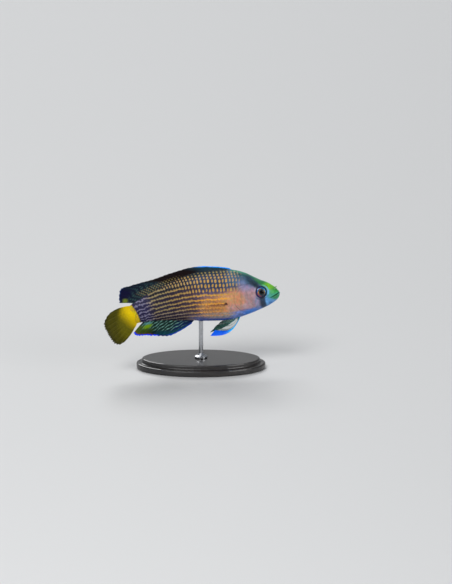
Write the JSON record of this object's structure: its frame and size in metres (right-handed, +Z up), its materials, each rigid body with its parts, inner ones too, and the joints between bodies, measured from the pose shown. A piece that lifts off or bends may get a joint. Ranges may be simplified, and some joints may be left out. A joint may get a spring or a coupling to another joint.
{
  "type": "splendid dottyback model",
  "caption": "Small reef fish with spotted flanks, rayed fins and a curved tail, held level on an oval base by a short turned rod.",
  "frame": {"origin": "centre of the oval base's flat underside, on the surface that the stand rests on", "axes": "+X towards the fish's head, +Y to the fish's left, +Z up"},
  "size_m": [0.1036, 0.0475, 0.0619],
  "materials": {
    "skin": "slate blue skin with rows of orange spots, moist sheen",
    "eye": "dark blue iris with thin bright rings, wet gloss",
    "dorsal_fin": "dark teal membrane with a blue edge",
    "anal_fin": "striped membrane, yellow-green to the rear, blue edge",
    "caudal_fin": "yellow membrane",
    "pectoral_fin": "clear membrane tinted orange",
    "pelvic_fin": "clear grey-green membrane with a bright blue leading edge",
    "stand_rod": "satin turned steel",
    "stand_base": "black stained hardwood, satin lacquer"
  },
  "bodies": {
    "root": {"head": "skin", "lower_jaw": "skin", "gill_cover_left": "skin", "gill_cover_right": "skin", "torso": "skin", "tail_stalk": "skin", "eye_left": "eye", "eye_right": "eye", "dorsal_fin": "dorsal_fin", "anal_fin": "anal_fin", "caudal_fin": "caudal_fin", "pectoral_fin_left": "pectoral_fin", "pectoral_fin_right": "pectoral_fin", "pelvic_fin_left": "pelvic_fin", "pelvic_fin_right": "pelvic_fin", "stand_rod": "stand_rod", "stand_base": "stand_base"}
  },
  "joints": []
}
